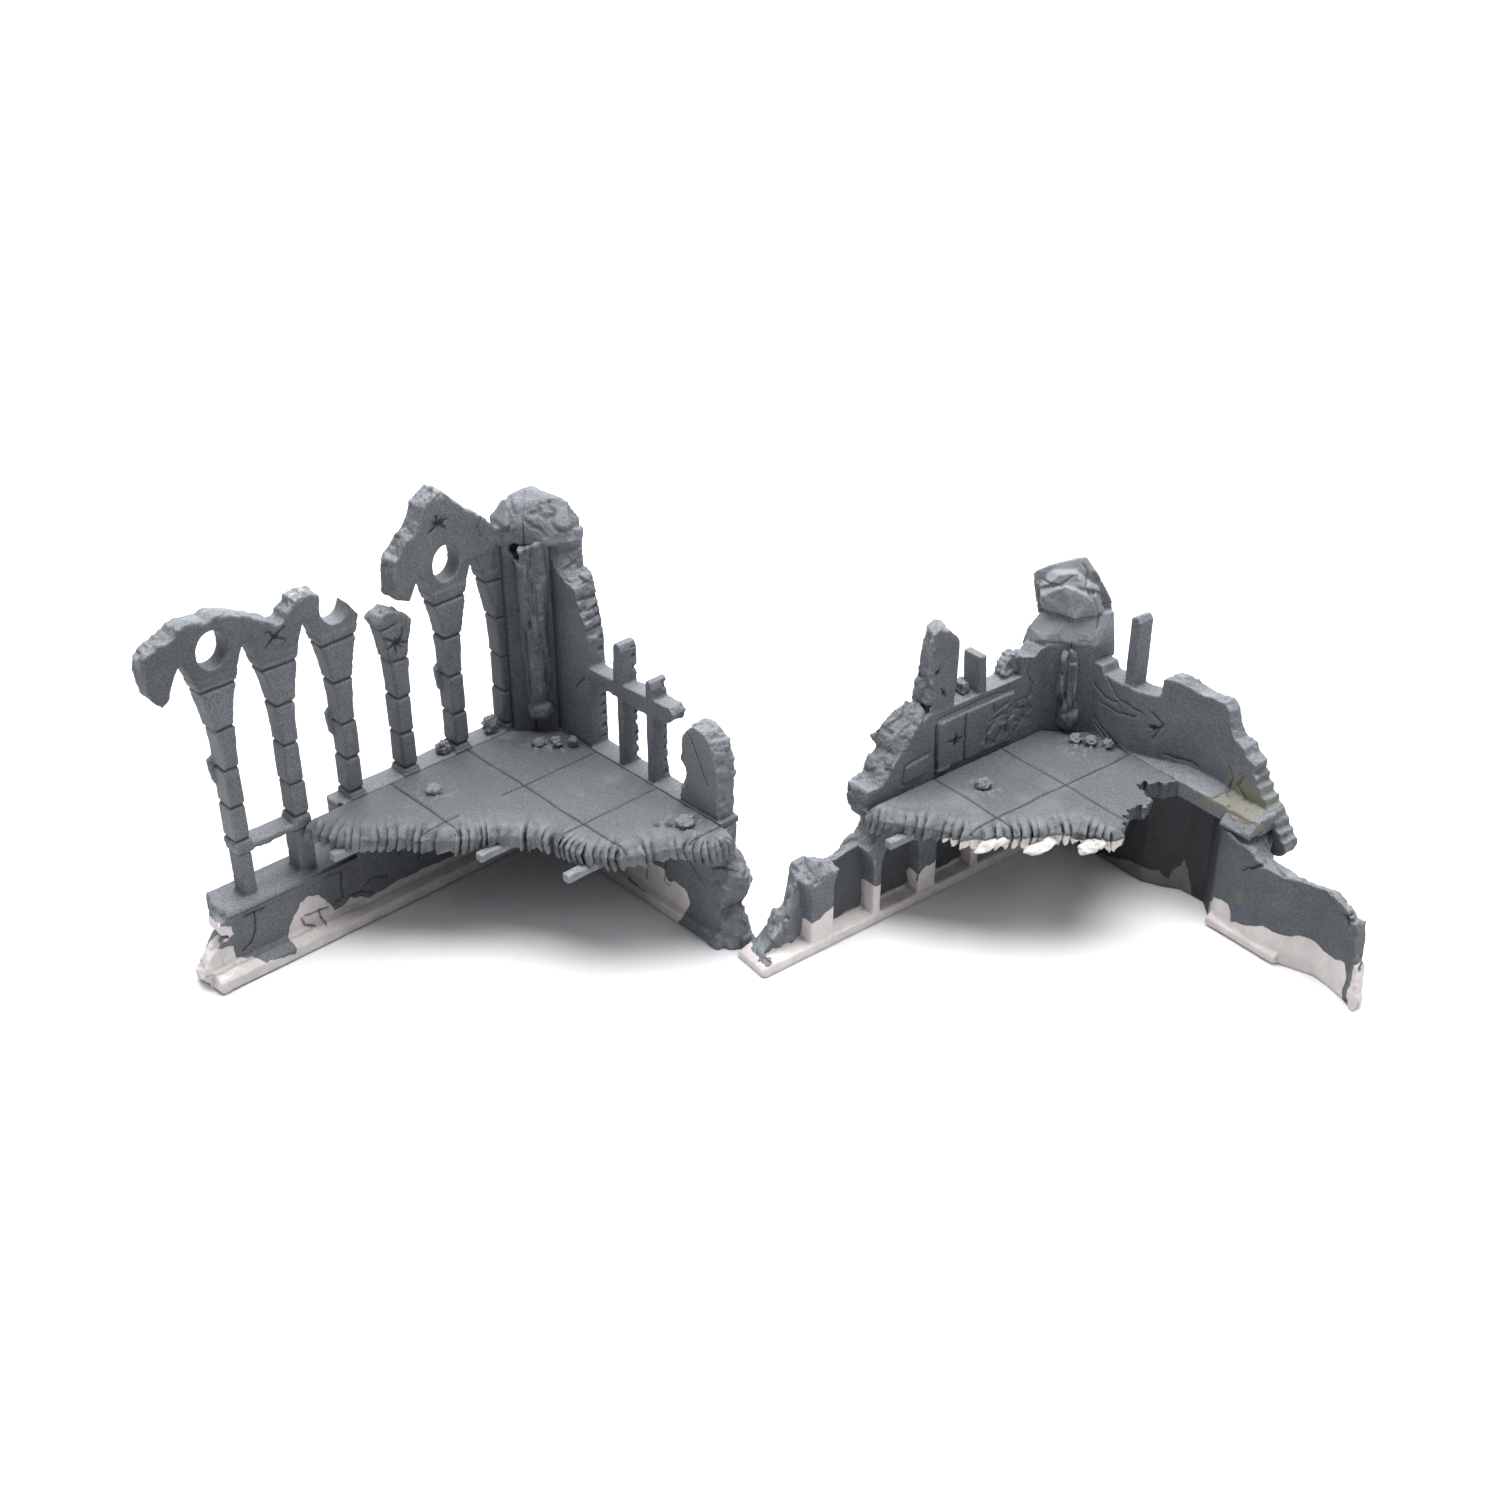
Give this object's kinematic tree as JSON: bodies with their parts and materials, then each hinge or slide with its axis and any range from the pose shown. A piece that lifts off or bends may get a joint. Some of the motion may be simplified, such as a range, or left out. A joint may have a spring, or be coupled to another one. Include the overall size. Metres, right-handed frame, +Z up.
{
  "type": "miniature terrain ruin",
  "caption": "Pair of free-standing two-storey ruined stone corners with broken walls, floor slabs and pointed arches, scenery for tabletop games.",
  "frame": {"origin": "middle of the pair's footprint, on the table", "axes": "+X runs from the left ruin to the right ruin, +Z is up, and both rooms open towards -Y"},
  "size_m": [0.598, 0.199, 0.224],
  "materials": {
    "left_arcade_wall": "matt grey-blue primer over pale resin",
    "left_corner_figure": "matt grey-blue primer over pale resin",
    "left_corner_stone_a": "matt grey-blue primer, rough",
    "left_corner_stone_b": "matt grey-blue primer, rough",
    "left_corner_stone_c": "matt grey-blue primer, rough",
    "left_floor_rod_1": "satin, bare cast resin",
    "left_floor_rod_2": "satin, bare cast resin",
    "left_floor_rod_3": "satin, bare cast resin",
    "left_floor_slab": "matt grey-blue primer over pale resin",
    "left_lower_front_wall": "matt grey-blue primer over pale resin",
    "left_lower_side_wall": "matt grey-blue primer over pale resin",
    "left_stone_at_edge": "matt grey-blue primer, rough",
    "left_stone_by_fifth_column": "matt grey-blue primer, rough",
    "left_stone_by_sixth_column": "matt grey-blue primer, rough",
    "left_stone_on_tiles": "matt grey-blue primer, rough",
    "left_upper_side_wall": "matt grey-blue primer over pale resin",
    "right_corner_figure": "matt grey-blue primer over pale resin",
    "right_corner_stone_a": "matt grey-blue primer, rough",
    "right_corner_stone_b": "matt grey-blue primer, rough",
    "right_corner_stone_c": "matt grey-blue primer, rough",
    "right_filler_1": "satin, unpainted filler",
    "right_filler_2": "satin, unpainted filler",
    "right_filler_3": "satin, unpainted filler",
    "right_floor_rod": "satin, bare cast resin",
    "right_floor_slab": "matt grey-blue primer over pale resin",
    "right_lower_front_wall": "matt grey-blue primer over pale resin",
    "right_lower_side_wall": "matt grey-blue primer over pale resin",
    "right_sill_block": "matt grey-blue primer, rough",
    "right_stone_on_tiles": "matt grey-blue primer, rough",
    "right_upper_front_wall": "matt grey-blue primer over pale resin",
    "right_upper_side_wall": "matt grey-blue primer over pale resin"
  },
  "bodies": {
    "left_ruin": {"left_arcade_wall": "left_arcade_wall", "left_corner_figure": "left_corner_figure", "left_corner_stone_a": "left_corner_stone_a", "left_corner_stone_b": "left_corner_stone_b", "left_corner_stone_c": "left_corner_stone_c", "left_floor_rod_1": "left_floor_rod_1", "left_floor_rod_2": "left_floor_rod_2", "left_floor_rod_3": "left_floor_rod_3", "left_floor_slab": "left_floor_slab", "left_lower_front_wall": "left_lower_front_wall", "left_lower_side_wall": "left_lower_side_wall", "left_stone_at_edge": "left_stone_at_edge", "left_stone_by_fifth_column": "left_stone_by_fifth_column", "left_stone_by_sixth_column": "left_stone_by_sixth_column", "left_stone_on_tiles": "left_stone_on_tiles", "left_upper_side_wall": "left_upper_side_wall"},
    "right_ruin": {"right_corner_figure": "right_corner_figure", "right_corner_stone_a": "right_corner_stone_a", "right_corner_stone_b": "right_corner_stone_b", "right_corner_stone_c": "right_corner_stone_c", "right_filler_1": "right_filler_1", "right_filler_2": "right_filler_2", "right_filler_3": "right_filler_3", "right_floor_rod": "right_floor_rod", "right_floor_slab": "right_floor_slab", "right_lower_front_wall": "right_lower_front_wall", "right_lower_side_wall": "right_lower_side_wall", "right_sill_block": "right_sill_block", "right_stone_on_tiles": "right_stone_on_tiles", "right_upper_front_wall": "right_upper_front_wall", "right_upper_side_wall": "right_upper_side_wall"}
  },
  "joints": [
    {"name": "ruins_apart", "type": "slide", "parent": "left_ruin", "child": "right_ruin", "axis": [1, 0, 0], "range_m": [0, 0.06]}
  ]
}
